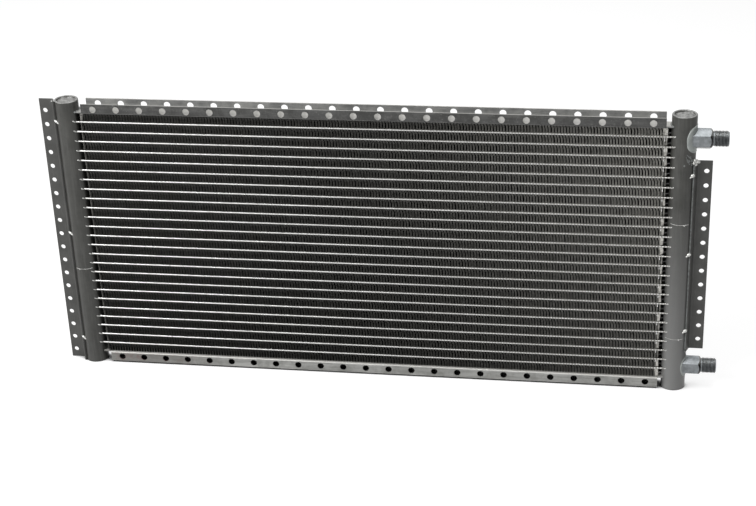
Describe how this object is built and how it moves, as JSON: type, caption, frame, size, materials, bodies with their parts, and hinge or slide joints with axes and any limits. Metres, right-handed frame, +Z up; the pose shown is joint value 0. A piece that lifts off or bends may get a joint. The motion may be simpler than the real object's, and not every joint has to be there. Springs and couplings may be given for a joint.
{
  "type": "finned condenser coil",
  "caption": "Finned condenser coil: flat tubes and folded fins brazed between round headers, with punched side channels, mounting brackets and threaded ports.",
  "frame": {"origin": "under the middle of the overall width and depth, in the plane of the headers' lower rims", "axes": "+X along the tubes towards the ports, +Y along the air's way through the fins, away from the side in the picture, +Z up"},
  "size_m": [0.8178, 0.0286, 0.355],
  "materials": {
    "tube": "extruded, bright front edge",
    "fin": "folded fin stock, dark after brazing",
    "header": "satin grey coat",
    "channel": "rolled sheet, dull and streaked",
    "bracket": "satin grey coat",
    "fitting": "machined bar, dull grey"
  },
  "bodies": {
    "root": {"flat_tube_01": "tube", "flat_tube_02": "tube", "flat_tube_03": "tube", "flat_tube_04": "tube", "flat_tube_05": "tube", "flat_tube_06": "tube", "flat_tube_07": "tube", "flat_tube_08": "tube", "flat_tube_09": "tube", "flat_tube_10": "tube", "flat_tube_11": "tube", "flat_tube_12": "tube", "flat_tube_13": "tube", "flat_tube_14": "tube", "flat_tube_15": "tube", "flat_tube_16": "tube", "flat_tube_17": "tube", "flat_tube_18": "tube", "flat_tube_19": "tube", "flat_tube_20": "tube", "flat_tube_21": "tube", "flat_tube_22": "tube", "flat_tube_23": "tube", "flat_tube_24": "tube", "flat_tube_25": "tube", "fin_strip_01": "fin", "fin_strip_02": "fin", "fin_strip_03": "fin", "fin_strip_04": "fin", "fin_strip_05": "fin", "fin_strip_06": "fin", "fin_strip_07": "fin", "fin_strip_08": "fin", "fin_strip_09": "fin", "fin_strip_10": "fin", "fin_strip_11": "fin", "fin_strip_12": "fin", "fin_strip_13": "fin", "fin_strip_14": "fin", "fin_strip_15": "fin", "fin_strip_16": "fin", "fin_strip_17": "fin", "fin_strip_18": "fin", "fin_strip_19": "fin", "fin_strip_20": "fin", "fin_strip_21": "fin", "fin_strip_22": "fin", "fin_strip_23": "fin", "fin_strip_24": "fin", "fin_strip_25": "fin", "fin_strip_26": "fin", "left_header": "header", "right_header": "header", "top_side_channel": "channel", "bottom_side_channel": "channel", "left_mounting_bracket": "bracket", "right_mounting_bracket": "bracket", "upper_fitting": "fitting", "lower_fitting": "fitting"}
  },
  "joints": []
}
